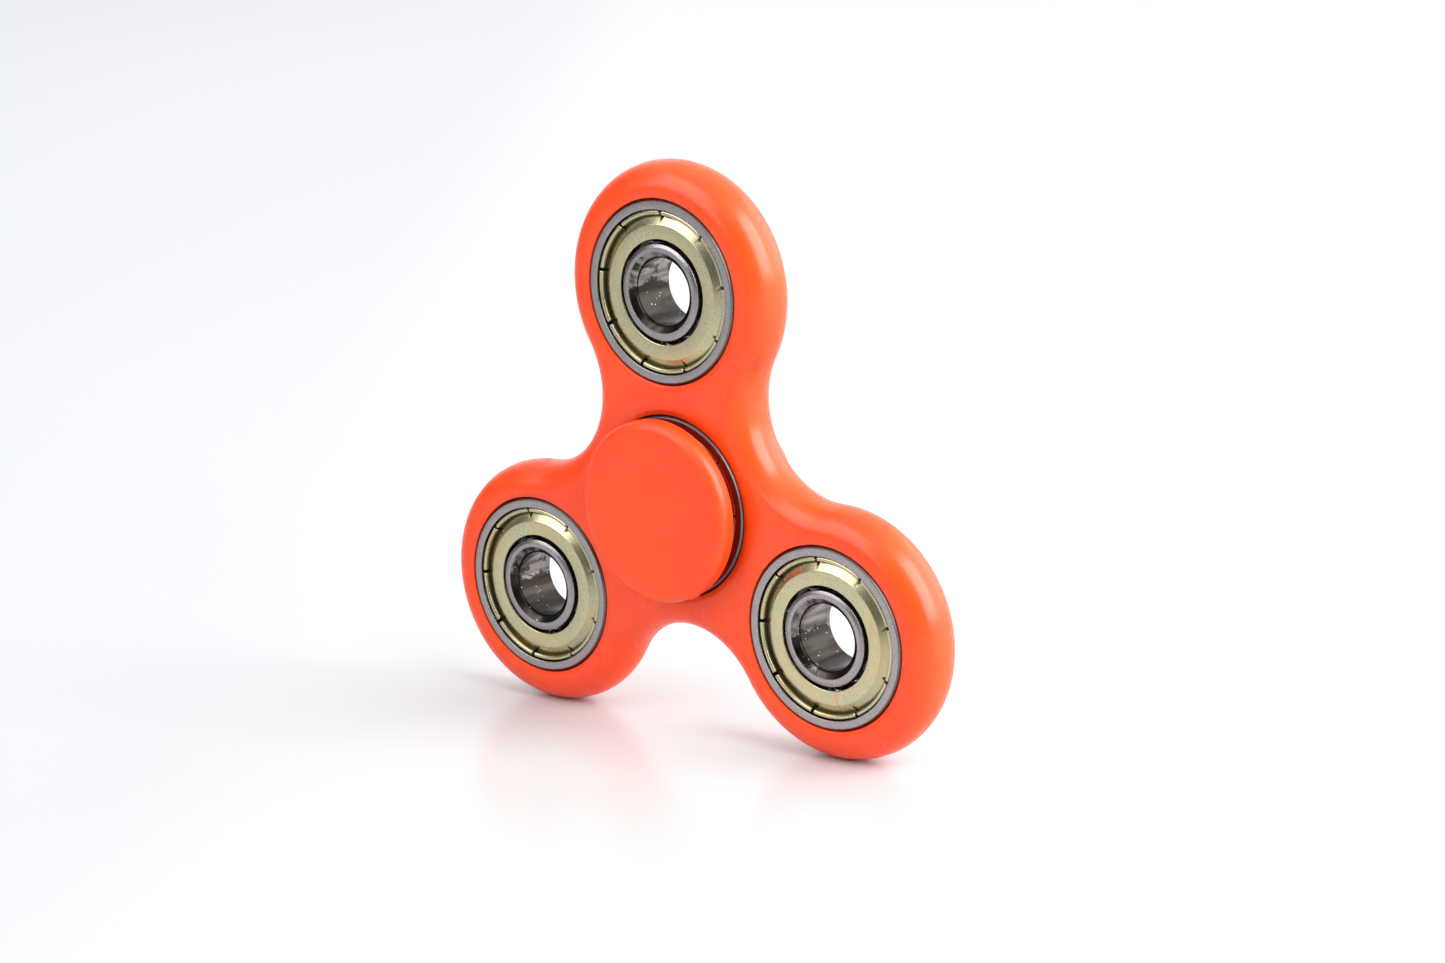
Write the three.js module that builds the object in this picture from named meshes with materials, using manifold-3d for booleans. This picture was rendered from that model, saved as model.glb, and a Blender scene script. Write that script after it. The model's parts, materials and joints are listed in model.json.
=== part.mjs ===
// Tri-lobe fidget spinner: a moulded plastic body that holds four 608-size ball bearings,
// one at its centre, where two finger caps plug into the bore, and one as a weight in each lobe.
// Millimetres. X is to the right, Z is up and Y is the spin axis; the front faces -Y.
// The origin is the middle of the centre bearing.

import * as THREE from 'three';
import { mergeVertices } from 'three/addons/utils/BufferGeometryUtils.js';
import Module from 'manifold-3d';

// ---------------------------------------------------------------- driving dimensions

const LOBE_REACH = 25.7; // spin axis to the middle of a lobe
const LOBE_RADIUS = 15.15;
const BODY_THICKNESS = 7.0; // flush with the bearings
const EDGE_RADIUS = 3.3; // the rim of the body is almost fully round
const MOUTH_WIDTH = 0.55; // of the shallow chamfer round a bearing seat
const MOUTH_DEPTH = 0.12;
const SEAT_GAP = 0.2; // between a bearing and its seat

const BEARING_WIDTH = 7.0;
const BEARING_RADIUS = 11.0;
const BORE_RADIUS = 4.0;
const PITCH_RADIUS = 7.5; // spin axis of a bearing to its balls
const BALL_RADIUS = 1.984; // a 5/32 inch ball
const BALL_COUNT = 7;
const RACE_GAP = 0.2; // between the balls and the two races
const RING_CHAMFER = 0.55; // of an outer ring, where it meets its seat
const SHOULDER_CHAMFER_WIDTH = 0.7; // of an inner ring, beside the shield
const SHOULDER_CHAMFER_DEPTH = 0.4;
const BORE_CHAMFER_WIDTH = 0.8;
const BORE_CHAMFER_DEPTH = 0.55;
const OUTER_SHOULDER_RADIUS = 8.9;
const INNER_SHOULDER_RADIUS = 5.9;
const SHIELD_SEAT_RADIUS = 9.8;
const SHIELD_SEAT_DEPTH = 1.4; // below the face of the ring

const SHIELD_THICKNESS = 0.3;
const SHIELD_HOLE_RADIUS = 6.25;
const SHIELD_FACE_RADIUS = 8.0;
const SHIELD_FACE_DEPTH = 0.25;
const SHIELD_RIM_RADIUS = 9.65;
const SHIELD_RIM_WIDTH = 0.55;
const VALLEY_RADIUS = 9.0; // where a shallow cone ends, just inside the rim
const VALLEY_DEPTH = 0.6; // below the shield's face
const SHIELD_SLITS = 9;
const SLIT_WIDTH = 0.4;

const CAGE_INNER_RADIUS = 6.9;
const CAGE_OUTER_RADIUS = 8.1;
const CAGE_THICKNESS = 0.35;
const CAGE_SPLIT = 0.3; // between the two halves
const POCKET_RADIUS = 2.15; // of the arch over a ball

const CAP_RADIUS = 11.0;
const CAP_FACE = 7.2; // from the middle of the spinner to the face of a cap
const CAP_THICKNESS = 2.15;
const CAP_EDGE_RADIUS = 1.2;
const CAP_BACK_EDGE = 0.25;
const HUB_RADIUS = 5.4; // the shoulder that bears on the inner ring
const STEM_RADIUS = 3.75;
const STEM_HOLLOW_RADIUS = 2.2;
const STEM_HOLLOW_DEPTH = 4.0;
const TOUCHING_GAP = 0.25; // between pieces that meet face to face

// The lobes, with how far each bearing happened to be turned when it was pressed in.
const LOBES = [
  { name: 'top', angle: 90, turn: 8 },
  { name: 'left', angle: 210, turn: 18 },
  { name: 'right', angle: 330, turn: 16 },
];
const LOBE_STEP = 360 / LOBES.length;

// ---------------------------------------------------------------- materials

const finish = (color, metalness, roughness) =>
  new THREE.MeshStandardMaterial({ color, metalness, roughness });

const orangePlastic = () => finish(0xff5a30, 0.0, 0.4);
const groundSteel = () => finish(0x9a9aa2, 1.0, 0.35);
const shieldZinc = () => finish(0xc9c7a0, 1.0, 0.4);
const polishedSteel = () => finish(0xd4d6d8, 1.0, 0.12);
const cageSteel = () => finish(0xb0a894, 1.0, 0.4);

// ---------------------------------------------------------------- shapes

const wasm = await Module();
wasm.setup();

const degrees = THREE.MathUtils.degToRad;

/** The same surface with only positions, and every shared vertex stored once. */
function weld(geometry) {
  geometry.deleteAttribute('normal');
  geometry.deleteAttribute('uv');
  return mergeVertices(geometry);
}

function toSolid(geometry) {
  const welded = weld(geometry);
  return new wasm.Manifold(new wasm.Mesh({
    numProp: 3,
    vertProperties: new Float32Array(welded.attributes.position.array),
    triVerts: new Uint32Array(welded.index.array),
  }));
}

function toGeometry(solid) {
  const mesh = solid.getMesh();
  const geometry = new THREE.BufferGeometry();
  geometry.setAttribute('position', new THREE.BufferAttribute(mesh.vertProperties, 3));
  geometry.setIndex(new THREE.BufferAttribute(mesh.triVerts, 1));
  geometry.computeVertexNormals();
  return geometry;
}

/** Turns a profile of [radius, height along Y] pairs, anticlockwise, about the Y axis. */
function turned(profile, sides) {
  const points = profile.map(([radius, height]) => new THREE.Vector2(radius, height));
  const closes = profile[0][0] === 0 && profile.at(-1)[0] === 0;
  if (!closes) {
    points.push(points[0].clone());
  }
  return new THREE.LatheGeometry(points, sides);
}

/** A flat outline in X and Z, extruded along Y and centred on the XZ plane. */
function extruded(shape, thickness, options) {
  const geometry = new THREE.ExtrudeGeometry(shape, { depth: thickness, ...options });
  return geometry.translate(0, 0, -thickness / 2).rotateX(Math.PI / 2);
}

/** Points of an arc about a centre, its last point left to the arc that follows. */
function arcPoints(centreAngle, radius, from, to, clockwise, steps) {
  const x = LOBE_REACH * Math.cos(degrees(centreAngle));
  const y = LOBE_REACH * Math.sin(degrees(centreAngle));
  const start = degrees(from);
  const arc = new THREE.EllipseCurve(x, y, radius, radius, start, degrees(to), clockwise);
  return arc.getPoints(steps).slice(0, -1);
}

/** Six tangent arcs: a round lobe, then a hollow waist, three times. */
function bodyOutline(inset) {
  const lobeArcSteps = 24;
  const waistArcSteps = 8;
  const waistRadius = LOBE_REACH - LOBE_RADIUS;
  const points = LOBES.flatMap(({ angle }) => {
    const waist = angle + LOBE_STEP / 2;
    return [
      ...arcPoints(angle, LOBE_RADIUS - inset, angle - 120, angle + 120, false, lobeArcSteps),
      ...arcPoints(waist, waistRadius + inset, waist - 120, waist - 240, true, waistArcSteps),
    ];
  });
  return new THREE.Shape(points);
}

/** A cutter for one bearing seat, wider at both mouths. */
function seatCutter() {
  const radius = BEARING_RADIUS + SEAT_GAP;
  const face = BODY_THICKNESS / 2;
  const clear = face + 1;
  const wide = radius + MOUTH_WIDTH;
  return turned([
    [0, -clear],
    [wide, -clear],
    [wide, -face],
    [radius, -face + MOUTH_DEPTH],
    [radius, face - MOUTH_DEPTH],
    [wide, face],
    [wide, clear],
    [0, clear],
  ], 36);
}

function bodyGeometry() {
  const slab = extruded(bodyOutline(EDGE_RADIUS), BODY_THICKNESS - 2 * EDGE_RADIUS, {
    bevelThickness: EDGE_RADIUS,
    bevelSize: EDGE_RADIUS,
    bevelSegments: 3,
  });
  const seats = [seatCutter()];
  for (const { angle } of LOBES) {
    seats.push(seatCutter().translate(
      LOBE_REACH * Math.cos(degrees(angle)),
      0,
      LOBE_REACH * Math.sin(degrees(angle)),
    ));
  }
  return toGeometry(seats.reduce((body, seat) => body.subtract(toSolid(seat)), toSolid(slab)));
}

/** Points of a race groove round the balls, from shoulder to shoulder, in order of height. */
function racePoints(shoulderRadius) {
  const radius = BALL_RADIUS + RACE_GAP;
  const side = Math.sign(shoulderRadius - PITCH_RADIUS);
  const shoulder = Math.acos(Math.abs(shoulderRadius - PITCH_RADIUS) / radius);
  return [-1, -1 / 3, 1 / 3, 1].map((part) => [
    PITCH_RADIUS + side * radius * Math.cos(shoulder * part),
    radius * Math.sin(shoulder * part),
  ]);
}

function outerRingGeometry() {
  const face = BEARING_WIDTH / 2;
  const step = face - SHIELD_SEAT_DEPTH;
  return turned([
    [BEARING_RADIUS - RING_CHAMFER, -face],
    [BEARING_RADIUS, -face + RING_CHAMFER],
    [BEARING_RADIUS, face - RING_CHAMFER],
    [BEARING_RADIUS - RING_CHAMFER, face],
    [SHIELD_SEAT_RADIUS, face],
    [SHIELD_SEAT_RADIUS, step],
    [OUTER_SHOULDER_RADIUS, step],
    ...racePoints(OUTER_SHOULDER_RADIUS).reverse(),
    [OUTER_SHOULDER_RADIUS, -step],
    [SHIELD_SEAT_RADIUS, -step],
    [SHIELD_SEAT_RADIUS, -face],
  ], 28);
}

function innerRingGeometry() {
  const face = BEARING_WIDTH / 2;
  const boreEdge = BORE_RADIUS + BORE_CHAMFER_WIDTH;
  const shoulderEdge = INNER_SHOULDER_RADIUS - SHOULDER_CHAMFER_WIDTH;
  const shoulderTop = face - SHOULDER_CHAMFER_DEPTH;
  return turned([
    [boreEdge, -face],
    [shoulderEdge, -face],
    [INNER_SHOULDER_RADIUS, -shoulderTop],
    ...racePoints(INNER_SHOULDER_RADIUS),
    [INNER_SHOULDER_RADIUS, shoulderTop],
    [shoulderEdge, face],
    [boreEdge, face],
    [BORE_RADIUS, face - BORE_CHAMFER_DEPTH],
    [BORE_RADIUS, -face + BORE_CHAMFER_DEPTH],
  ], 24);
}

/** A pressed shield for the +Y face: a flat, a shallow cone, and a rim split by short slits. */
function shieldGeometry() {
  const top = BEARING_WIDTH / 2 - SHIELD_FACE_DEPTH;
  const valley = top - VALLEY_DEPTH;
  const underside = valley - SHIELD_THICKNESS;
  const rimTop = top - 0.05;
  const rimInner = SHIELD_RIM_RADIUS - SHIELD_RIM_WIDTH;
  const disc = turned([
    [SHIELD_HOLE_RADIUS, top - SHIELD_THICKNESS],
    [SHIELD_FACE_RADIUS, top - SHIELD_THICKNESS],
    [VALLEY_RADIUS, underside],
    [SHIELD_RIM_RADIUS, underside],
    [SHIELD_RIM_RADIUS, rimTop],
    [rimInner, rimTop],
    [rimInner, valley],
    [VALLEY_RADIUS, valley],
    [SHIELD_FACE_RADIUS, top],
    [SHIELD_HOLE_RADIUS, top],
  ], 27);
  let shield = toSolid(disc);
  const slitLength = 1.0;
  const slitHeight = 1.0;
  const slitStart = rimInner - 0.05;
  const slitFloor = valley - 0.05;
  for (let slit = 0; slit < SHIELD_SLITS; slit += 1) {
    const cutter = new THREE.BoxGeometry(slitLength, slitHeight, SLIT_WIDTH);
    cutter.translate(slitStart + slitLength / 2, slitFloor + slitHeight / 2, 0);
    cutter.rotateY((slit * 2 * Math.PI) / SHIELD_SLITS);
    shield = shield.subtract(toSolid(cutter));
  }
  return toGeometry(shield);
}

/** Half of a ribbon cage on the +Y side: a flat ring pressed into an arch over each ball. */
function cageGeometry() {
  const ballStep = (2 * Math.PI) / BALL_COUNT;
  const stepsPerBall = 8;
  const ribbon = turned([
    [CAGE_INNER_RADIUS, 0],
    [CAGE_OUTER_RADIUS, 0],
    [CAGE_OUTER_RADIUS, CAGE_THICKNESS],
    [CAGE_INNER_RADIUS, CAGE_THICKNESS],
  ], BALL_COUNT * stepsPerBall);
  const { position } = ribbon.attributes;
  for (let index = 0; index < position.count; index += 1) {
    const balls = Math.atan2(position.getZ(index), position.getX(index)) / ballStep;
    const alongPitch = PITCH_RADIUS * Math.sin((balls - Math.round(balls)) * ballStep);
    const arch = Math.sqrt(Math.max(0, POCKET_RADIUS ** 2 - alongPitch ** 2));
    position.setY(index, position.getY(index) + Math.max(CAGE_SPLIT / 2, arch));
  }
  ribbon.computeVertexNormals();
  return ribbon;
}

function ballGeometry() {
  return new THREE.IcosahedronGeometry(BALL_RADIUS, 1);
}

/** A finger cap for the +Y side: disc, hub shoulder, and a hollow stem that plugs the bore. */
function capGeometry() {
  const back = CAP_FACE - CAP_THICKNESS;
  const shoulder = BEARING_WIDTH / 2 + TOUCHING_GAP;
  const stemEnd = TOUCHING_GAP / 2;
  const edge = [0, 1, 2, 3].map((step) => {
    const turn = (step / 3) * (Math.PI / 2);
    return [
      CAP_RADIUS - CAP_EDGE_RADIUS * (1 - Math.cos(turn)),
      CAP_FACE - CAP_EDGE_RADIUS * (1 - Math.sin(turn)),
    ];
  });
  return turned([
    [0, stemEnd + STEM_HOLLOW_DEPTH],
    [STEM_HOLLOW_RADIUS, stemEnd + STEM_HOLLOW_DEPTH],
    [STEM_HOLLOW_RADIUS, stemEnd],
    [STEM_RADIUS, stemEnd],
    [STEM_RADIUS, shoulder],
    [HUB_RADIUS, shoulder],
    [HUB_RADIUS, back],
    [CAP_RADIUS - CAP_BACK_EDGE, back],
    [CAP_RADIUS, back + CAP_BACK_EDGE],
    ...edge,
    [0, CAP_FACE],
  ], 32);
}

// ---------------------------------------------------------------- assembly

function piece(name, geometry, material) {
  const mesh = new THREE.Mesh(geometry, material);
  mesh.name = name;
  return mesh;
}

/** Puts a piece made for the +Y side on the front, -Y, side. */
function facingFront(mesh) {
  mesh.rotation.x = Math.PI;
  return mesh;
}

/** One 608-size bearing about its own middle, with its pieces named after where it sits. */
function bearing(place, turn) {
  const group = new THREE.Group();
  group.rotation.y = degrees(-turn);
  group.add(
    piece(`${place}_outer_ring`, outerRingGeometry(), groundSteel()),
    piece(`${place}_inner_ring`, innerRingGeometry(), groundSteel()),
    facingFront(piece(`${place}_front_shield`, shieldGeometry(), shieldZinc())),
    piece(`${place}_rear_shield`, shieldGeometry(), shieldZinc()),
    facingFront(piece(`${place}_front_cage`, cageGeometry(), cageSteel())),
    piece(`${place}_rear_cage`, cageGeometry(), cageSteel()),
  );
  for (let index = 0; index < BALL_COUNT; index += 1) {
    const angle = (index * 2 * Math.PI) / BALL_COUNT;
    const ball = piece(`${place}_ball_${index + 1}`, ballGeometry(), polishedSteel());
    ball.position.set(PITCH_RADIUS * Math.cos(angle), 0, -PITCH_RADIUS * Math.sin(angle));
    group.add(ball);
  }
  return group;
}

const spinner = new THREE.Group();
spinner.add(piece('tri_lobe_body', bodyGeometry(), orangePlastic()));
spinner.add(facingFront(piece('front_finger_cap', capGeometry(), orangePlastic())));
spinner.add(piece('rear_finger_cap', capGeometry(), orangePlastic()));
spinner.add(bearing('centre', 0));

for (const { name, angle, turn } of LOBES) {
  const weight = bearing(name, turn);
  weight.position.set(
    LOBE_REACH * Math.cos(degrees(angle)),
    0,
    LOBE_REACH * Math.sin(degrees(angle)),
  );
  spinner.add(weight);
}

export default spinner;
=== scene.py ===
# %% [markdown]
# # A tri-lobe fidget spinner
#
# The spinner is a flat orange plastic body on a small ball bearing, held between two finger
# caps, with one more ball bearing pressed into each lobe as a weight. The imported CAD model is
# the frame: it says where each piece sits and what turns with what. Every piece is made again
# here with finer edges, and given a finish. Lengths are in metres, X is to the right, Z is up,
# and Y is the axis that everything turns about, with the front facing -Y.

# %% Load the frame
import json
import math

import bmesh
import bpy
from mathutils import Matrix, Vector


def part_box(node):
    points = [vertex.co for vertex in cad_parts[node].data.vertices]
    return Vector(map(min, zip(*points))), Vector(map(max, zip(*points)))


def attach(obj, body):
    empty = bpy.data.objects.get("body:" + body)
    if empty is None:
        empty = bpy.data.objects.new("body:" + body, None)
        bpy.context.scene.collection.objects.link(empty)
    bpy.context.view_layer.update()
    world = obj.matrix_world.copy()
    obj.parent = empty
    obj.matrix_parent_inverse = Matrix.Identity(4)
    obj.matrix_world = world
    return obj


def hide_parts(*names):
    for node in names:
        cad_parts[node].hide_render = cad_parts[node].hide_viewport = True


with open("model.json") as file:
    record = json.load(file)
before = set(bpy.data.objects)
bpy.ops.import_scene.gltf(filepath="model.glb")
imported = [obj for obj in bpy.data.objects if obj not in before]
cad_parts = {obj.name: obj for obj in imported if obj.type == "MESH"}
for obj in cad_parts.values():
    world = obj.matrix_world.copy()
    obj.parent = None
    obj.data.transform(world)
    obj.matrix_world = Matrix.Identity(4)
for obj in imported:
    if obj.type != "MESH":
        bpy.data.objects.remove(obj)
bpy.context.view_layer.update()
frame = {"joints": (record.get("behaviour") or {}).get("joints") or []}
MM = 0.001
TURN = 2 * math.pi
scene = bpy.context.scene

# %% [markdown]
# ## Where the bearings sit
#
# The four bearings are the one standard part here, 22 mm across, 7 mm wide, with an 8 mm bore,
# so they set the scale. Their middles come from the joints: the frame says where each lobe's
# inner ring turns. The body, the faces of the caps and the floor take their places from the
# CAD boxes.

# %% Sizes from the frame
joint_at = {joint["name"]: Vector(joint["pos_m"]) for joint in frame["joints"]}
PLACES = {"centre": joint_at["spin"]}
for lobe in ("top", "left", "right"):
    PLACES[lobe] = joint_at[f"{lobe}_race_turn"]

body_low, body_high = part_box("tri_lobe_body")
BODY_HALF = body_high.y
LOBE_REACH = PLACES["top"].length
LOBE_RADIUS = body_high.z - LOBE_REACH
FLOOR = body_low.z

RING_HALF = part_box("top_outer_ring")[1].y
BEARING_RADIUS = 11.0 * MM
BORE_RADIUS = 4.0 * MM
PITCH_RADIUS = 7.5 * MM
CAP_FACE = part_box("rear_finger_cap")[1].y
CAP_RADIUS = 11.0 * MM
print("lobe reach", round(LOBE_REACH / MM, 2), "lobe radius", round(LOBE_RADIUS / MM, 2))

# %% [markdown]
# ## Camera
#
# A long lens from the right and slightly above shows the face and the rounded rim together.
# The camera is a position round the object and a point that it aims at. It leans a little,
# as a camera in the hand does, so its axes are worked out as vectors and put in a matrix.

# %% Camera
from mathutils import Matrix


def direction(azimuth, elevation):
    """Unit vector towards an azimuth and an elevation in degrees; azimuth 0 is the front."""
    around, above = math.radians(azimuth), math.radians(elevation)
    return Vector((
        math.sin(around) * math.cos(above),
        -math.cos(around) * math.cos(above),
        math.sin(above),
    ))


CAMERA_AZIMUTH = 40.30
CAMERA_ELEVATION = 14.03
CAMERA_LEAN = math.radians(-2.73)
CAMERA_DISTANCE = 393.8 * MM
CAMERA_AIM = Vector((3.10, 2.51, 2.13)) * MM
LENS = 82.64

camera_back = direction(CAMERA_AZIMUTH, CAMERA_ELEVATION)
level_right = (-camera_back).cross(Vector((0, 0, 1))).normalized()
level_up = level_right.cross(-camera_back)
camera_right = math.cos(CAMERA_LEAN) * level_right + math.sin(CAMERA_LEAN) * level_up
camera_up = camera_back.cross(camera_right)

camera = bpy.data.objects.new("camera", bpy.data.cameras.new("camera"))
scene.collection.objects.link(camera)
axes = Matrix((camera_right, camera_up, camera_back)).transposed().to_4x4()
camera.matrix_world = Matrix.Translation(CAMERA_AIM + camera_back * CAMERA_DISTANCE) @ axes
camera.data.sensor_width = 36.0
camera.data.lens = LENS
camera.data.clip_start = 0.01
camera.data.clip_end = 20.0
scene.camera = camera
print("camera at", [round(value, 3) for value in camera.matrix_world.translation])

# %% [markdown]
# ## Shader helper
#
# A material is a small calculation. Wired by hand its nodes are hard to follow, so it is
# written as Python expressions: a `Value` wraps a socket, and arithmetic on values adds Math
# nodes for numbers and Vector Math nodes for vectors. Every other node comes from
# `Nodes.add`, which takes the node's type, its settings and its sockets.

# %% Shader helper
class Value:
    """A socket in a node tree that Python expressions can calculate with."""

    def __init__(self, socket):
        self.socket = socket

    def _is_vector(self):
        return self.socket.type in ("VECTOR", "RGBA")

    def _calculate(self, operation, *operands):
        vector = any(isinstance(item, Value) and item._is_vector() for item in operands)
        kind = "ShaderNodeVectorMath" if vector else "ShaderNodeMath"
        sockets = {}
        for index, item in enumerate(operands):
            if vector and isinstance(item, (int, float)):
                item = (item, item, item)
            sockets[index] = item
        return Nodes(self.socket.id_data).add(kind, {"operation": operation}, sockets)

    def __add__(self, other):
        return self._calculate("ADD", self, other)

    __radd__ = __add__

    def __sub__(self, other):
        return self._calculate("SUBTRACT", self, other)

    def __rsub__(self, other):
        return self._calculate("SUBTRACT", other, self)

    def __mul__(self, other):
        return self._calculate("MULTIPLY", self, other)

    __rmul__ = __mul__


class Nodes:
    """A node tree that grows by one method."""

    def __init__(self, tree):
        self.tree = tree

    def add(self, kind, settings=None, sockets=None, output=0):
        """Adds a node: its settings first, then the values or links of its sockets."""
        made = self.tree.nodes.new(kind)
        for key, setting in (settings or {}).items():
            if key == "stops":
                ramp = made.color_ramp.elements
                for spare in range(2, len(setting)):
                    ramp.new(spare / len(setting))
                for stop, (position, colour) in zip(ramp, setting):
                    stop.position = position
                    stop.color = (*colour, 1.0)
            else:
                setattr(made, key, setting)
        for key, value in (sockets or {}).items():
            if isinstance(value, Value):
                self.tree.links.new(value.socket, made.inputs[key])
            else:
                made.inputs[key].default_value = value
        return Value(made.outputs[output])

    def step(self, value, low, high):
        """A smooth step of a value: 0 at low, 1 at high."""
        return self.add("ShaderNodeMapRange", {"interpolation_type": "SMOOTHSTEP"},
                        {"Value": value, "From Min": low, "From Max": high})

    def mix(self, factor, first, second):
        """A colour between two colours; either may be a plain (red, green, blue)."""
        colours = [item if isinstance(item, Value) else (*item, 1.0) for item in (first, second)]
        return self.add("ShaderNodeMix", {"data_type": "RGBA"},
                        {0: factor, 6: colours[0], 7: colours[1]}, output=2)

    def vector(self, operation, first, second=(0.0, 0.0, 0.0), output="Vector"):
        """A Vector Math node that isn't plain arithmetic, such as a length."""
        return self.add("ShaderNodeVectorMath", {"operation": operation},
                        {0: first, 1: second}, output=output)

    def axis(self, vector, axis):
        """One coordinate of a vector: 0, 1 or 2."""
        return self.add("ShaderNodeSeparateXYZ", sockets={0: vector}, output=axis)


# %% [markdown]
# ## Finish helper
#
# Every finish starts the same way: a Principled shader, the piece's own coordinates, noise at
# several scales, and a bump at the end. Object coordinates are used because they stay with a
# piece as it turns, and because a mesh made in code has no UV map.

# %% Finish helper
class Finish(Nodes):
    """A material under construction, with its shader and its coordinates."""

    def __init__(self, name, shift=0.0, **constants):
        self.material = bpy.data.materials.new(name)
        self.material.use_nodes = True
        super().__init__(self.material.node_tree)
        self.shader = self.tree.nodes["Principled BSDF"]
        for socket, value in constants.items():
            self.shader.inputs[socket.replace("_", " ")].default_value = value
        self.local = self.add("ShaderNodeTexCoord", output="Object")
        self.place = self.local + shift
        self.radius = self.vector("LENGTH", self.local * (1.0, 0.0, 1.0), output="Value")

    def noise(self, scale, detail=3.0, roughness=0.5, stretch=(1.0, 1.0, 1.0), distortion=0.0):
        """Soft clouds from 0 to 1; scale is features to the metre."""
        return self.add("ShaderNodeTexNoise", sockets={
            "Vector": self.place * stretch,
            "Scale": scale,
            "Detail": detail,
            "Roughness": roughness,
            "Distortion": distortion,
        })

    def rounds(self, across, along):
        """Turning marks: noise that changes across the radius and hardly along it."""
        polar = self.add("ShaderNodeCombineXYZ", sockets={
            0: self.radius * across,
            1: self.axis(self.place, 0) * along,
            2: self.axis(self.place, 2) * along,
        })
        return self.add("ShaderNodeTexNoise", sockets={
            "Vector": polar, "Scale": 1.0, "Detail": 2.0})

    def specks(self, scale, size):
        """Round specks, 1 in the middle of each and 0 between them."""
        distance = self.add("ShaderNodeTexVoronoi", sockets={
            "Vector": self.place, "Scale": scale})
        return self.step(distance, size, size * 0.4)

    def drive(self, socket, value):
        """Lets a value vary one of the shader's own inputs over the surface."""
        self.tree.links.new(value.socket, self.shader.inputs[socket])

    def bump(self, *heights):
        """Tips the surface by height fields: (field, metres that its full range stands for)."""
        normal = None
        for field, distance in heights:
            sockets = {"Strength": 1.0, "Distance": distance, "Height": field}
            if normal:
                sockets["Normal"] = normal
            normal = self.add("ShaderNodeBump", sockets=sockets)
        self.drive("Normal", normal)


# %% [markdown]
# ## Orange plastic
#
# Injection-moulded plastic is one colour all through, and light goes a millimetre or so into
# it, which is set as subsurface scattering. Its skin is not one finish: flow from the gate
# leaves very faint clouds, handling leaves hairline scratches and dust, and the tool leaves a
# fine orange peel. The clouds are slow noise in the colour, the rest is small noise in the
# roughness and the bump.

# %% Orange plastic
ORANGE = (1.0, 0.070, 0.008)


def orange_plastic(name, shift, gloss):
    finish = Finish(name, shift, IOR=1.46, Subsurface_Weight=0.3, Subsurface_Scale=2.5 * MM)
    finish.shader.inputs["Subsurface Radius"].default_value = (1.0, 0.25, 0.12)
    deep = tuple(channel * factor for channel, factor in zip(ORANGE, (0.97, 0.9, 0.85)))
    light = tuple(min(1.0, channel * factor) for channel, factor in zip(ORANGE, (1.0, 1.07, 1.1)))
    clouds = finish.noise(90.0, detail=2.0)
    colour = finish.mix(finish.step(clouds, 0.35, 0.65), deep, light)
    dust = finish.specks(420.0, 0.06) * finish.step(finish.noise(60.0), 0.66, 0.74)
    finish.drive("Base Color", finish.mix(dust * 0.3, colour, (1.0, 0.45, 0.3)))

    hairlines = finish.step(finish.noise(1.0, 2.0, stretch=(900.0, 900.0, 90.0)), 0.62, 0.7)
    smears = finish.noise(140.0)
    finish.drive("Roughness", gloss + smears * 0.10 + hairlines * 0.01)
    waves = finish.noise(110.0, detail=1.0)
    peel = finish.noise(1400.0, detail=1.0)
    finish.bump((waves, 0.05 * MM), (peel, 0.0016 * MM))
    return finish.material


body_plastic = orange_plastic("body_orange_plastic", 0.0, 0.22)
cap_plastic = orange_plastic("cap_orange_plastic", 0.31, 0.32)
print("materials", len(bpy.data.materials))

# %% [markdown]
# ## Ring steel
#
# Bearing rings are hardened steel, ground on a magnetic table, so the faces show fine lines
# that run one way, in a grey with a trace of purple. Painted shade darkens the outer edge
# beside the seat, and the edge is rougher there too. In the bore the finish is darker, with
# lines along the bore and stains where oil has dried. Face, edge and bore could each have a
# material of their own, but one material that looks at the distance from the axis needs no
# seams between them.

# %% Ring steel
def ring_steel(name, shift, stains):
    finish = Finish(name, shift, Metallic=1.0)
    grain = finish.noise(5200.0, detail=2.0, roughness=0.6)
    tone = finish.noise(260.0, detail=2.0)
    face = finish.mix(finish.step(grain, 0.34, 0.66), (0.26, 0.238, 0.238), (0.38, 0.354, 0.357))
    face = finish.mix(tone * 0.3, face, (0.35, 0.315, 0.33))
    # Painted shade: the outer edge of the face is darkened beside the seat.
    edge_painted_shade = finish.step(finish.radius, 10.60 * MM, 10.76 * MM)
    face = finish.mix(edge_painted_shade * 0.65, face, (0.08, 0.058, 0.050))

    in_bore = finish.step(finish.radius, 4.9 * MM, 4.75 * MM)
    drawn = finish.noise(1.0, detail=2.0, stretch=(900.0, 120.0, 900.0))
    honed = finish.mix(finish.step(drawn, 0.35, 0.65), (0.08, 0.075, 0.070), (0.28, 0.266, 0.248))
    oil = finish.noise(420.0, detail=4.0, roughness=0.65, distortion=0.6)
    # The stains are weighted towards the bottom of the bore, so the bore is darker towards the
    # bottom.
    low_side = finish.step(finish.axis(finish.local, 2), 0.6 * MM, -0.8 * MM)
    stain_level = oil + low_side * 0.24 + stains * 0.10
    stained = finish.step(stain_level, 0.57, 0.66) * in_bore
    grit = finish.specks(1300.0, 0.10) * stained
    colour = finish.mix(in_bore, face, honed)
    colour = finish.mix(stained * 0.88, colour, (0.016, 0.011, 0.008))
    finish.drive("Base Color", finish.mix(grit, colour, (0.85, 0.83, 0.78)))

    face_roughness = 0.19 + grain * 0.11 + edge_painted_shade * 0.12
    bore_roughness = 0.14 + tone * 0.14 + stained * 0.06
    finish.drive("Roughness", face_roughness * (1.0 - in_bore) + bore_roughness * in_bore)
    grind = finish.noise(1.0, 3.0, roughness=0.7, stretch=(5200.0, 5200.0, 500.0))
    in_hole = finish.step(finish.radius, 4.15 * MM, 4.05 * MM)
    finish.bump((grind, 0.003 * MM), (grain, 0.003 * MM), (stained * in_hole, 0.012 * MM))
    return finish.material
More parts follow.
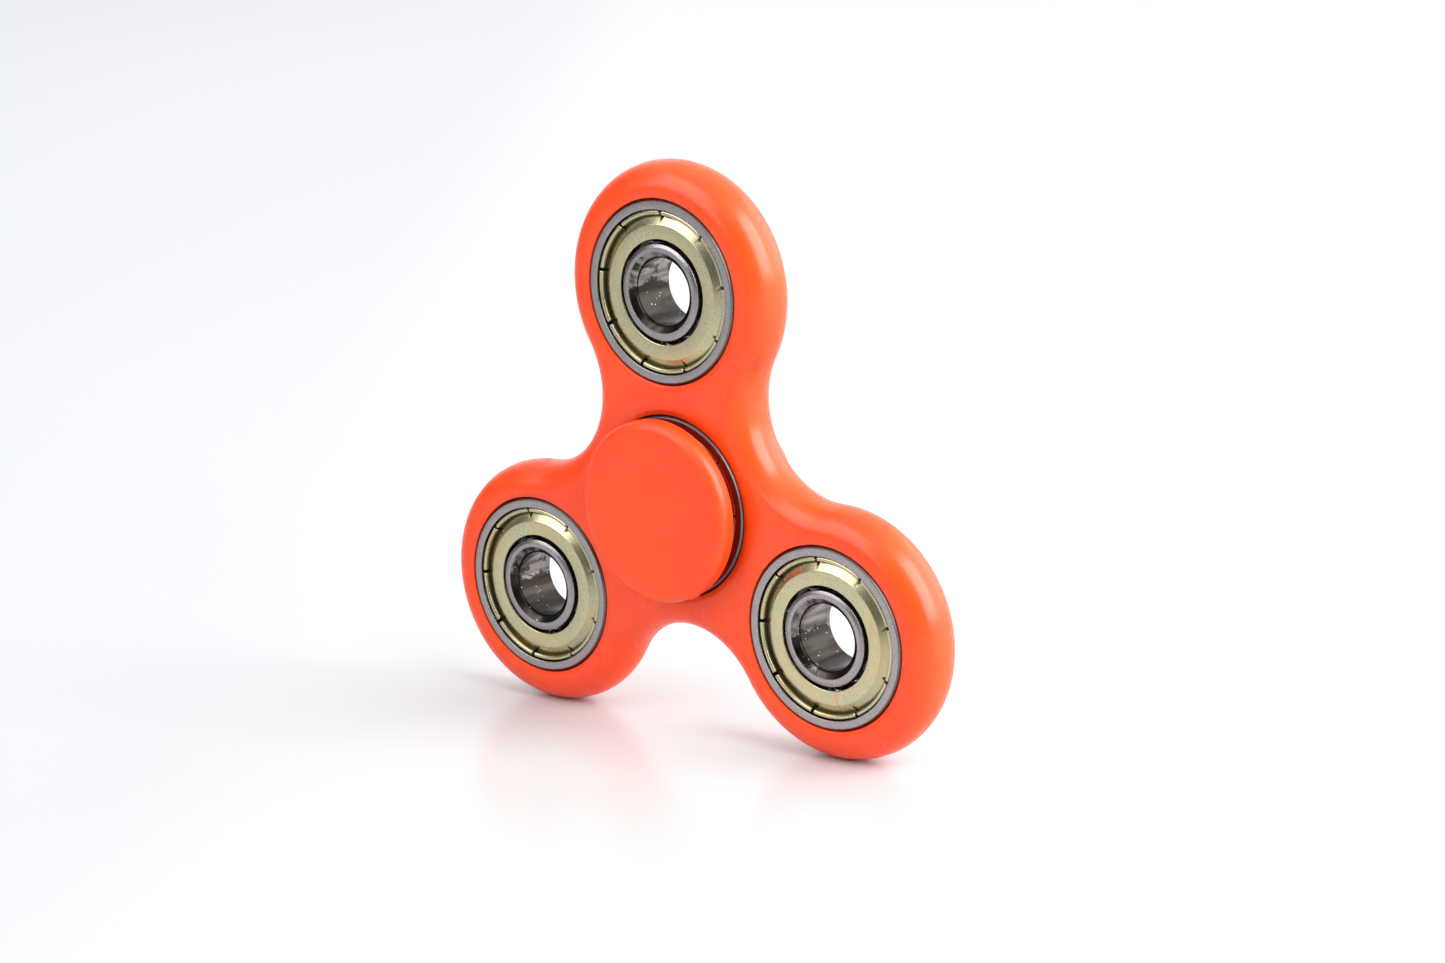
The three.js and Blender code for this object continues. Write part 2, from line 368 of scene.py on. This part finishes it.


# %% [markdown]
# ## Zinc-plated shield
#
# The shields are thin pressed steel with a yellow-passivated zinc plating. The film is so thin
# that it colours like oil on water: mostly a pale greenish gold, with pools of faint green and
# pink. Slow noise moves along a colour ramp for that, and drawing lines run round the disc.
# The groove inside the rim is darker and rougher, where painted shade darkens its deep part.

# %% Zinc-plated shield
FILM_COLOURS = (
    (0.30, (0.49, 0.42, 0.24)),
    (0.44, (0.55, 0.475, 0.285)),
    (0.56, (0.47, 0.46, 0.30)),
    (0.66, (0.56, 0.48, 0.30)),
    (0.74, (0.54, 0.37, 0.27)),
)


def shield_zinc(name, shift):
    finish = Finish(name, shift, Metallic=1.0)
    film = finish.noise(190.0, roughness=0.55, distortion=0.8)
    plating = finish.add("ShaderNodeValToRGB", {"stops": FILM_COLOURS}, {"Fac": film})
    grain = finish.noise(3600.0, detail=2.0)
    plating = finish.mix(grain * 0.25, plating, (0.36, 0.34, 0.22))
    height = finish.axis(finish.vector("ABSOLUTE", finish.local), 1)
    # Painted shade: the deep part of the groove inside the rim is darkened.
    groove_painted_shade = finish.step(finish.radius, 8.85 * MM, 9.05 * MM) * finish.step(
        height, 3.15 * MM, 2.85 * MM)
    finish.drive("Base Color", finish.mix(groove_painted_shade * 0.9, plating, (0.06, 0.045, 0.02)))
    finish.drive("Roughness", 0.18 + grain * 0.10 + film * 0.06 + groove_painted_shade * 0.15)
    finish.bump((finish.rounds(5200.0, 260.0), 0.002 * MM), (grain, 0.003 * MM))
    return finish.material


# %% [markdown]
# ## Cage and ball steel
#
# Inside, the cages are pressed from dull steel ribbon and the balls are lapped to a mirror.
# They only show through the gap beside the inner ring, but they are real pieces, so they get
# real finishes: a rolled grain for the ribbon, and a faint oily film on the balls.

# %% Cage and ball steel
def cage_steel():
    finish = Finish("cage_steel", Metallic=1.0)
    rolled = finish.noise(1.0, stretch=(2600.0, 500.0, 2600.0))
    finish.drive("Base Color", finish.mix(rolled, (0.30, 0.28, 0.24), (0.46, 0.43, 0.37)))
    finish.drive("Roughness", 0.32 + rolled * 0.16)
    finish.bump((rolled, 0.004 * MM))
    return finish.material


def ball_steel():
    finish = Finish("ball_steel", Metallic=1.0)
    film = finish.noise(520.0)
    finish.drive("Base Color", finish.mix(film, (0.62, 0.62, 0.63), (0.78, 0.77, 0.74)))
    finish.drive("Roughness", 0.06 + film * 0.08)
    finish.bump((film, 0.002 * MM))
    return finish.material


# %% [markdown]
# No two bearings come out of a box alike, so each one has its own patch of the noise and its
# own share of dried oil.

# %% Finishes for the four bearings
STAINS = {"centre": 0.2, "top": 1.0, "left": 0.5, "right": 0.1}
ring_finish = {}
shield_finish = {}
for seed, place in enumerate(PLACES):
    shift = 0.13 * seed
    ring_finish[place] = ring_steel(f"ring_steel_{place}", shift, STAINS[place])
    shield_finish[place] = shield_zinc(f"shield_zinc_{place}", shift)
cage_finish = cage_steel()
ball_finish = ball_steel()
print("materials", len(bpy.data.materials))

# %% [markdown]
# ## Turned pieces
#
# Rings, shields and caps are all made by turning, so they are made here the same way: a closed
# profile swept round the Y axis. Real edges are never sharp, so a profile is a list of corners,
# each with a fillet radius, and `filleted` turns each corner into a short arc. The Screw
# modifier could turn it too, but faces made in code meet exactly and need no clean-up.

# %% Fillets
def filleted(corners, arc_steps):
    """A closed profile from (radius, height, fillet) corners, in millimetres."""
    points = []
    count = len(corners)
    for index, (x, y, fillet) in enumerate(corners):
        corner = Vector((x, y))
        if not fillet:
            points.append(corner)
            continue
        before = (Vector(corners[index - 1][:2]) - corner).normalized()
        after = (Vector(corners[(index + 1) % count][:2]) - corner).normalized()
        half = before.angle(after) / 2
        reach = fillet / math.tan(half)
        centre = corner + (before + after).normalized() * (fillet / math.sin(half))
        start = corner + before * reach - centre
        sweep = start.angle_signed(corner + after * reach - centre)
        for step in range(arc_steps + 1):
            turn = -sweep * step / arc_steps
            points.append(centre + Matrix.Rotation(turn, 2) @ start)
    return [point * MM for point in points]


# %% New pieces
SHARP_FROM = math.radians(40)


def new_piece(name, bm, material):
    """An object from a bmesh, smooth but for its real edges."""
    bmesh.ops.recalc_face_normals(bm, faces=bm.faces)
    mesh = bpy.data.meshes.new(name)
    bm.to_mesh(mesh)
    bm.free()
    mesh.shade_smooth()
    mesh.set_sharp_from_angle(angle=SHARP_FROM)
    mesh.materials.append(material)
    piece = bpy.data.objects.new(name, mesh)
    scene.collection.objects.link(piece)
    weights = piece.modifiers.new("flat faces stay flat", "WEIGHTED_NORMAL")
    weights.keep_sharp = True
    return piece


# %% Turning and settling
def turned(profile, sides):
    """A bmesh of a closed profile, in metres, turned about the Y axis."""
    bm = bmesh.new()
    rings = []
    for point in profile:
        if point.x < 1e-9:
            rings.append([bm.verts.new((0.0, point.y, 0.0))] * sides)
            continue
        ring = []
        for side in range(sides):
            angle = TURN * side / sides
            ring.append(bm.verts.new(
                (point.x * math.cos(angle), point.y, point.x * math.sin(angle))))
        rings.append(ring)
    for index, ring in enumerate(rings):
        following = rings[(index + 1) % len(rings)]
        for side in range(sides):
            other = (side + 1) % sides
            corners = [ring[side], ring[other], following[other], following[side]]
            corners = list(dict.fromkeys(corners))
            if len(corners) > 2:
                bm.faces.new(corners)
    return bm


def settle(piece, place, body, slot, *nodes):
    """Puts a piece at its bearing, on its body, in place of its CAD nodes."""
    piece.location = PLACES[place]
    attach(piece, body)
    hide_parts(*nodes)
    return piece


# %% [markdown]
# ## Body
#
# The outline is six tangent arcs: a lobe round each weight, and a hollow waist between lobes.
# A boolean of bevelled blocks would shade badly on the long thin faces, so the skin is built
# ring by ring: the outline is offset inwards while the edge rounds over to the flat face, and
# the flat face is then filled between that last ring and the rounded mouths of the four seats.
# Round the middle of the rim runs the mould's parting line, a ridge that a nail just feels.

# %% Body outline
LOBE_STEPS = 120
WAIST_STEPS = 40


def outline(inset):
    """Points round the body, the outline moved inwards by inset."""
    points = []
    for lobe in range(3):
        angle = math.radians(90 + 120 * lobe)
        arcs = (
            (angle, LOBE_RADIUS - inset, -TURN / 3, TURN / 3, LOBE_STEPS),
            (angle + TURN / 6, LOBE_REACH - LOBE_RADIUS + inset, -TURN / 3, -2 * TURN / 3,
             WAIST_STEPS),
        )
        for about, radius, first, last, steps in arcs:
            middle = Vector((math.cos(about), math.sin(about))) * LOBE_REACH
            for step in range(steps):
                turn = about + first + (last - first) * step / steps
                points.append(middle + Vector((math.cos(turn), math.sin(turn))) * radius)
    return points


# %% Rim and seat profiles
EDGE_RADIUS = BODY_HALF - 0.2 * MM
MOUTH_WIDTH = 0.60 * MM
MOUTH_DEPTH = 0.12 * MM
MOUTH_FILLET = 0.8
SEAT_RADIUS = BEARING_RADIUS + 0.10 * MM


def rim_profile():
    """(inset, height) pairs from the front flat face over the rim to the rear one."""
    ridge_height = 0.035 * MM
    ridge_half = 0.10 * MM
    steps = 12
    front = []
    for step in range(steps + 1):
        turn = TURN / 4 * step / steps
        front.append((EDGE_RADIUS * (1 - math.sin(turn)),
                      -BODY_HALF + EDGE_RADIUS * (1 - math.cos(turn))))
    ridge = [(0.0, -ridge_half), (-ridge_height, 0.0), (0.0, ridge_half)]
    return front + ridge + [(inset, -height) for inset, height in reversed(front)]


def seat_profile():
    """(radius, height) pairs down through a seat, from front mouth to rear mouth."""
    mouth = SEAT_RADIUS / MM + MOUTH_WIDTH / MM
    face = BODY_HALF / MM
    low = face - MOUTH_DEPTH / MM
    # The first and last corners only give the arcs between them their directions.
    corners = filleted([
        (mouth + 0.6, -face, 0),
        (mouth, -face, MOUTH_FILLET),
        (SEAT_RADIUS / MM, -low, 0.1),
        (SEAT_RADIUS / MM, -1.0, 0),
    ], arc_steps=4)
    front = [(point.x, point.y) for point in corners[1:-1]]
    return front + [(radius, -height) for radius, height in reversed(front)]


# %% Body skin
SEAT_SIDES = 144


def stitch(bm, rings):
    """Faces between each ring of vertices and the next."""
    for ring, following in zip(rings, rings[1:]):
        for index in range(len(ring)):
            other = (index + 1) % len(ring)
            bm.faces.new((ring[index], ring[other], following[other], following[index]))


def loop_edges(bm, ring):
    """The edges that join a closed ring of vertices."""
    return [bm.edges.get((ring[index - 1], ring[index])) for index in range(len(ring))]


bm = bmesh.new()
rim = [[bm.verts.new((point.x, height, point.y)) for point in outline(inset)]
       for inset, height in rim_profile()]
stitch(bm, rim)
mouths = {-1: loop_edges(bm, rim[0]), 1: loop_edges(bm, rim[-1])}
for middle in PLACES.values():
    seat = []
    for radius, height in seat_profile():
        seat.append([bm.verts.new((middle.x + radius * math.cos(TURN * side / SEAT_SIDES), height,
                                   middle.z + radius * math.sin(TURN * side / SEAT_SIDES)))
                     for side in range(SEAT_SIDES)])
    stitch(bm, seat)
    mouths[-1] += loop_edges(bm, seat[0])
    mouths[1] += loop_edges(bm, seat[-1])
for side, edges in mouths.items():
    bmesh.ops.triangle_fill(bm, use_beauty=True, edges=edges, normal=(0.0, side, 0.0))
body = new_piece("spinner_body", bm, body_plastic)
settle(body, "centre", "rotor", "orange_plastic", "tri_lobe_body")
print("body faces", len(body.data.polygons))

# %% [markdown]
# ## Finger caps
#
# A cap is a disc with a rounded shoulder, a hub that bears on the inner ring, and a stem that
# pushes into the bore. The face is dished by a few hundredths, as a thick moulding sinks when
# it cools, and a nib is left on the edge where the plastic came in. All but the nib is round,
# so the cap is turned, and the nib is then pulled out of the finished edge.

# %% Cap profile
CAP = CAP_RADIUS / MM
FACE = CAP_FACE / MM
CAP_THICKNESS = 2.15
CAP_BACK = FACE - CAP_THICKNESS
CAP_EDGE = 1.2
RING_FACE = RING_HALF / MM
HUB = 5.4
HUB_FACE = RING_FACE + 0.02
STEM = 3.9
STEM_TIP = 0.15
HOLLOW = 2.2
HOLLOW_END = 4.2
DISH = ((9.2, 0.0), (6.0, 0.03), (0.0, 0.05))
cap_profile = filleted([
    (0.0, HOLLOW_END, 0),
    (HOLLOW, HOLLOW_END, 0.3),
    (HOLLOW, STEM_TIP, 0.15),
    (STEM, STEM_TIP, 0.3),
    (STEM, HUB_FACE, 0.1),
    (HUB, HUB_FACE, 0.2),
    (HUB, CAP_BACK, 0.3),
    (CAP, CAP_BACK, 0.25),
    (CAP, FACE, CAP_EDGE),
    *((radius, FACE - depth, 0) for radius, depth in DISH),
], arc_steps=8)
print("cap thickness", CAP_THICKNESS, "mm over a stem of", round(CAP_BACK - STEM_TIP, 2), "mm")

# %% Finger caps
CAP_SIDES = 240
GATE_ANGLE = math.radians(-63)
GATE_HALF_WIDTH = 0.045
GATE_PROUD = 0.16 * MM
for side, body_node in ((-1, "front_finger_cap"), (1, "rear_finger_cap")):
    bm = turned([Vector((point.x, side * point.y)) for point in cap_profile], CAP_SIDES)
    for vertex in bm.verts:
        out = Vector((vertex.co.x, 0.0, vertex.co.z))
        away = abs(math.atan2(out.z, out.x) - GATE_ANGLE)
        if out.length > CAP_RADIUS - 0.3 * MM and away < GATE_HALF_WIDTH:
            vertex.co += out.normalized() * GATE_PROUD
    cap = new_piece(body_node.replace("finger_cap", "cap"), bm, cap_plastic)
    settle(cap, "centre", "hub", "orange_plastic", body_node)
print("cap faces", len(cap.data.polygons))

# %% [markdown]
# ## Bearing rings
#
# The outer ring has a land at each face, a step that takes the shield, and a race for the
# balls. The inner ring has the matching race outside and generous chamfers into the bore,
# where they catch the light. The grooves could be cut out of plain rings with a boolean, but
# in a turned profile they come out smooth, and all four bearings share the two profiles.

# %% Race grooves
PITCH = PITCH_RADIUS / MM
GROOVE = 2.06
OUTER_SHOULDER = 8.9
INNER_SHOULDER = 5.9
RACE_STEPS = 14


def race(radius, shoulder):
    """Corners of a race groove about the balls' centre line, from one shoulder to the other."""
    half_angle = math.acos((shoulder - PITCH) / radius)
    corners = []
    for step in range(RACE_STEPS + 1):
        turn = half_angle * (2 * step / RACE_STEPS - 1)
        corners.append((PITCH + radius * math.cos(turn), abs(radius) * math.sin(turn), 0))
    return corners


outer_groove = race(GROOVE, OUTER_SHOULDER)
inner_groove = race(-GROOVE, INNER_SHOULDER)
print("groove depth", round(PITCH + GROOVE - OUTER_SHOULDER, 2), "mm")

# %% Ring profiles
OUTER = BEARING_RADIUS / MM
BORE = BORE_RADIUS / MM
BORE_EDGE = 4.8
SHIELD_SEAT = 9.80
STEP = RING_FACE - 1.4
outer_profile = filleted([
    (OUTER - 0.26, -RING_FACE, 0.10),
    (OUTER - 0.06, 0.30 - RING_FACE, 0.1),
    (OUTER, 0.6 - RING_FACE, 0.15),
    (OUTER, RING_FACE - 0.6, 0.15),
    (OUTER - 0.06, RING_FACE - 0.30, 0.1),
    (OUTER - 0.26, RING_FACE, 0.10),
    (SHIELD_SEAT, RING_FACE, 0.08),
    (SHIELD_SEAT, STEP, 0.05),
    (OUTER_SHOULDER, STEP, 0.1),
    *reversed(outer_groove),
    (OUTER_SHOULDER, -STEP, 0.1),
    (SHIELD_SEAT, -STEP, 0.05),
    (SHIELD_SEAT, -RING_FACE, 0.08),
], arc_steps=8)
inner_profile = filleted([
    (5.30, -RING_FACE, 0.3),
    (5.72, 0.13 - RING_FACE, 0.08),
    (5.84, 0.75 - RING_FACE, 0.15),
    *inner_groove,
    (5.84, RING_FACE - 0.75, 0.15),
    (5.72, RING_FACE - 0.13, 0.08),
    (5.30, RING_FACE, 0.3),
    (BORE_EDGE, RING_FACE, 0.12),
    (BORE, RING_FACE - 0.55, 0.6),
    (BORE, 0.55 - RING_FACE, 0.6),
    (BORE_EDGE, -RING_FACE, 0.12),
], arc_steps=8)
print("profile points", len(outer_profile), "and", len(inner_profile))

# %% Bearing rings
RING_BODY = {"centre": "hub", "top": "top_race", "left": "left_race", "right": "right_race"}
for place in PLACES:
    ring = new_piece(f"{place}_ring_outer", turned(outer_profile, 160), ring_finish[place])
    settle(ring, place, "rotor", "ring_steel", f"{place}_outer_ring")
    ring = new_piece(f"{place}_ring_inner", turned(inner_profile, 128), ring_finish[place])
    settle(ring, place, RING_BODY[place], "ring_steel", f"{place}_inner_ring")
print("ring faces", len(ring.data.polygons))

# %% [markdown]
# ## Shields
#
# A shield is one pressing: a flat disc, a shallow cone down into a valley, and a rim that
# is rolled into the ring's step. The rim is cut into nine tongues so that it can be rolled.
# The disc is turned, and then nine small blocks cut the slits, because a slit isn't round.

# %% Shield profile
SHIELD_FLAT = RING_FACE - 0.25
SHEET = 0.28
VALLEY = SHIELD_FLAT - 0.60
RIM_TOP = SHIELD_FLAT + 0.05
SHIELD_HOLE = 6.25
SHIELD_RIM = 9.70
shield_profile = filleted([
    (SHIELD_HOLE, SHIELD_FLAT - SHEET, 0.1),
    (7.90, SHIELD_FLAT - SHEET, 0.3),
    (8.92, VALLEY - SHEET, 0.1),
    (SHIELD_RIM, VALLEY - SHEET, 0.2),
    (SHIELD_RIM, RIM_TOP, 0.25),
    (9.16, RIM_TOP, 0.2),
    (9.10, VALLEY, 0.03),
    (9.02, VALLEY, 0.03),
    (7.98, SHIELD_FLAT, 0.4),
    (SHIELD_HOLE, SHIELD_FLAT, 0.12),
], arc_steps=8)
print("shield", SHIELD_HOLE, "to", SHIELD_RIM, "mm, sheet", SHEET, "mm")

# %% Slits
SLITS = 9
SLIT_INNER_END = 8.95 * MM
SLIT_WIDTH = 0.46 * MM
SLIT_LENGTH = 1.2 * MM
SLIT_HEIGHT = 1.6 * MM


def slit_cutter():
    """Nine blocks, one across the rim at each slit."""
    bm = bmesh.new()
    for slit in range(SLITS):
        turn = Matrix.Rotation(-TURN * slit / SLITS, 4, "Y")
        size = Matrix.Diagonal((SLIT_LENGTH, SLIT_HEIGHT, SLIT_WIDTH, 1.0))
        out = Matrix.Translation((SLIT_INNER_END + SLIT_LENGTH / 2, VALLEY * MM, 0.0))
        bmesh.ops.create_cube(bm, size=1.0, matrix=turn @ out @ size)
    return new_piece("slit_cutter", bm, cage_finish)


def applied(piece):
    """The piece's mesh with its modifiers made real."""
    evaluated = piece.evaluated_get(bpy.context.evaluated_depsgraph_get())
    return bpy.data.meshes.new_from_object(evaluated)


def cut_shield(name, side):
    """The mesh of a shield for one face of a bearing, with its slits cut."""
    profile = [Vector((point.x, side * point.y)) for point in shield_profile]
    shield = new_piece(name, turned(profile, 180), cage_finish)
    cutter = slit_cutter()
    if side < 0:
        cutter.scale.y = -1.0
    cut = shield.modifiers.new("slits", "BOOLEAN")
    cut.operation = "DIFFERENCE"
    cut.solver = "EXACT"
    cut.object = cutter
    shield.modifiers.move(1, 0)
    bpy.context.view_layer.update()
    mesh = applied(shield)
    bpy.data.objects.remove(shield)
    bpy.data.objects.remove(cutter)
    return mesh


# %% [markdown]
# All eight shields come from the same press, so each face's mesh is cut once and copied. Each
# bearing happened to be turned differently when it was pressed into the body, so the slits
# of each start at another angle, in degrees.

# %% Shields
PRESSED_TURN = {"centre": 0.0, "top": 7.8, "left": 18.0, "right": 15.7}
for side, face in ((-1, "front"), (1, "rear")):
    pressed = cut_shield(f"{face}_shield_pressing", side)
    for place in PLACES:
        mesh = pressed.copy()
        mesh.materials.clear()
        mesh.materials.append(shield_finish[place])
        mesh.transform(Matrix.Rotation(-math.radians(PRESSED_TURN[place]), 4, "Y"))
        shield = bpy.data.objects.new(f"{place}_shield_{face}", mesh)
        scene.collection.objects.link(shield)
        settle(shield, place, "rotor", "shield_zinc", f"{place}_{face}_shield")
    bpy.data.meshes.remove(pressed)
print("shield faces", len(shield.data.polygons))

# %% [markdown]
# ## Cages and balls
#
# A ribbon cage is two wavy rings, each arched over the seven balls and flat between them. It
# could be bent with a curve, but the ribbon is simple enough to turn as a flat ring and then
# lift: the arch is a circle round each ball that eases into the flat tab. The balls sit half
# in each.

# %% Ribbon shape
BALL = 1.984
BALLS = 7
CAGE_INNER = 6.9
CAGE_OUTER = 8.1
CAGE_TAB = 0.15
CAGE_ARCH = 2.15
CAGE_EASE = 0.25
CAGE_SHEET = 0.35
CAGE_STEPS = 24


def cage_height(angle):
    """Height of the ribbon's inner side at an angle round the bearing, in millimetres."""
    balls = angle / (TURN / BALLS)
    along = PITCH * math.sin((balls - round(balls)) * TURN / BALLS)
    arch = math.sqrt(max(0.0, CAGE_ARCH ** 2 - along ** 2))
    rise = (arch - CAGE_TAB - CAGE_EASE) / CAGE_EASE * 2
    return CAGE_TAB + CAGE_EASE * math.log1p(math.exp(rise)) / 2


ribbon_section = filleted([
    (CAGE_INNER, 0.0, 0.08),
    (CAGE_OUTER, 0.0, 0.08),
    (CAGE_OUTER, CAGE_SHEET, 0.08),
    (CAGE_INNER, CAGE_SHEET, 0.08),
], arc_steps=3)
print("ribbon height over a ball", round(cage_height(0.0), 2), "mm")

# %% Cages and balls
for place in PLACES:
    balls_body = f"{place}_balls"
    start = math.radians(PRESSED_TURN[place])
    for side, face in ((-1, "front"), (1, "rear")):
        bm = turned(ribbon_section, BALLS * CAGE_STEPS)
        for vertex in bm.verts:
            angle = math.atan2(vertex.co.z, vertex.co.x)
            vertex.co.y = side * (vertex.co.y + cage_height(angle) * MM)
        bmesh.ops.rotate(bm, verts=bm.verts, matrix=Matrix.Rotation(-start, 3, "Y"))
        cage = new_piece(f"{place}_cage_{face}", bm, cage_finish)
        settle(cage, place, balls_body, "cage_steel", f"{place}_{face}_cage")
    for index in range(BALLS):
        angle = start - TURN * index / BALLS
        bm = bmesh.new()
        bmesh.ops.create_icosphere(bm, subdivisions=4, radius=BALL * MM)
        ball = new_piece(f"{place}_steel_ball_{index + 1}", bm, ball_finish)
        settle(ball, place, balls_body, "ball_steel", f"{place}_ball_{index + 1}")
        ball.location += Vector((math.cos(angle), 0.0, math.sin(angle))) * PITCH_RADIUS

# %% [markdown]
# ## Floor
#
# The spinner stands on a pale table, which isn't part of it, so it goes to the stage. A flat
# disc is enough for the shape. The finish is a little glossy, so the lobes leave a faint
# reflection, and painted shade makes it a little greyer towards the left, away from the light.

# %% Floor
FLOOR_RADIUS = 4.0
floor_finish = Finish("floor_white", IOR=1.45)
floor_finish.shader.inputs["Specular IOR Level"].default_value = 0.45
haze = floor_finish.noise(3.0)
paper = floor_finish.mix(haze, (0.53, 0.53, 0.535), (0.55, 0.545, 0.545))
# Painted shade: the floor's colour turns greyer towards the left.
to_the_left = floor_finish.vector(
    "DOT_PRODUCT", floor_finish.local, tuple(direction(-50, 0)), output="Value")
left_painted_shade = floor_finish.step(to_the_left, 10 * MM, 75 * MM)
floor_finish.drive("Base Color", floor_finish.mix(left_painted_shade, paper, (0.445, 0.448, 0.458)))
floor_finish.drive("Roughness", 0.22 + haze * 0.05)
bm = bmesh.new()
bmesh.ops.create_circle(bm, cap_ends=True, segments=96, radius=FLOOR_RADIUS)
floor = new_piece("floor", bm, floor_finish.material)
floor.location.z = FLOOR
print("floor at", round(FLOOR / MM, 2), "mm")

# %% [markdown]
# ## Light
#
# Soft panels stand round the table. A large one to the right makes the long shine on the
# lobes, a dim one behind it carries that shine round the edge, and one at the front left
# fills the shadows. Lamps could be set by watts and metres, but a reflection shows a panel's
# angle and brightness, so a panel is set by those. Colours are shown without a film look.

# %% Light
scene.view_settings.view_transform = "Standard"
WATTS_PER_SQUARE_METRE = 4


def softbox(name, azimuth, elevation, distance, spread_across, spread_up, brightness):
    """A panel that faces the spinner and takes up a spread of degrees in its reflections."""
    light = bpy.data.lights.new(name, "AREA")
    light.shape = "RECTANGLE"
    light.size = 2 * distance * math.tan(math.radians(spread_across / 2))
    light.size_y = 2 * distance * math.tan(math.radians(spread_up / 2))
    light.energy = WATTS_PER_SQUARE_METRE * light.size * light.size_y * brightness
    lamp = bpy.data.objects.new(name, light)
    scene.collection.objects.link(lamp)
    toward = direction(azimuth, elevation)
    lamp.location = toward * distance
    lamp.rotation_mode = "QUATERNION"
    lamp.rotation_quaternion = toward.to_track_quat("Z", "Y")


softbox("right_softbox", 92, 33, 1.3, 44, 50, 6.4)
softbox("back_panel", 142, 25, 1.3, 66, 44, 1.7)
softbox("left_softbox", -28, 33, 2.2, 36, 44, 2.6)
print("lights", len(bpy.data.lights))

# %% [markdown]
# ## Room
#
# Polished metal shows what is round it, so the room counts as part of the finish. A picture of
# a room could do it, but smooth steps on the direction are enough: dim at the front, bright
# overhead and behind. That gives the rings and shields their light and dark bands.

# %% Room
room = bpy.data.worlds.new("studio_room")
scene.world = room
room.use_nodes = True
room_nodes = Nodes(room.node_tree)
toward = room_nodes.add("ShaderNodeTexCoord", output="Generated")
overhead = room_nodes.step(room_nodes.axis(toward, 2), 0.45, 0.85)
behind = room_nodes.step(
    room_nodes.vector("DOT_PRODUCT", toward, tuple(direction(180, 20)), output="Value"), 0.1, 0.7)
brightness = 0.18 + overhead * 0.9 + (1.0 - overhead) * behind * 1.1
sky = room.node_tree.nodes["Background"]
room.node_tree.links.new(brightness.socket, sky.inputs["Strength"])
sky.inputs["Color"].default_value = (0.97, 0.98, 1.0, 1.0)
print("world nodes", len(room.node_tree.nodes))
